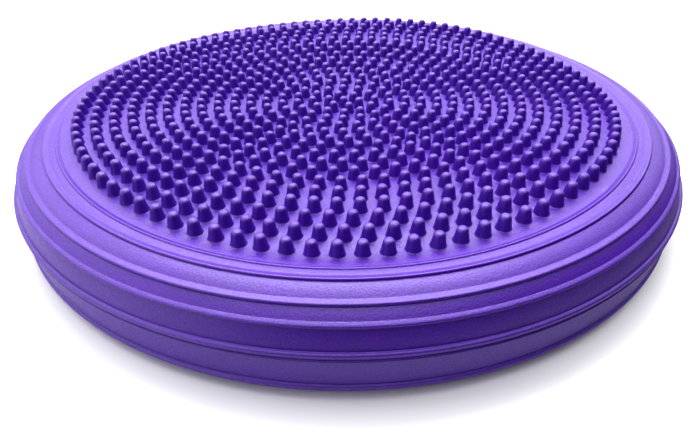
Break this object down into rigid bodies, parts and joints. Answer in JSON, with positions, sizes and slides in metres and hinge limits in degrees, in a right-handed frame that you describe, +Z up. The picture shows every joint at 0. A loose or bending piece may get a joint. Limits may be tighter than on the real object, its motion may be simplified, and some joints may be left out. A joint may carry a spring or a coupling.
{
  "type": "inflatable balance cushion",
  "caption": "Round air-filled balance cushion with a studded massage face, beaded rim and a plugged needle valve at the back of its rim.",
  "frame": {"origin": "centre of the flat foot that the cushion rests on", "axes": "+Z up through the studded face, +Y out through the valve"},
  "size_m": [0.33, 0.33, 0.0452],
  "materials": {
    "violet_pvc": "satin, fine moulded grain",
    "valve_rubber": "satin",
    "core_rubber": "matte",
    "plug_plastic": "satin"
  },
  "bodies": {
    "cushion": {"cushion_skin": "violet_pvc", "valve_body": "valve_rubber", "valve_core": "core_rubber"},
    "plug": {"valve_plug": "plug_plastic"}
  },
  "joints": [
    {"name": "plug_pull", "type": "slide", "parent": "cushion", "child": "plug", "axis": [0, 1, 0], "range_m": [0, 0.012]}
  ]
}
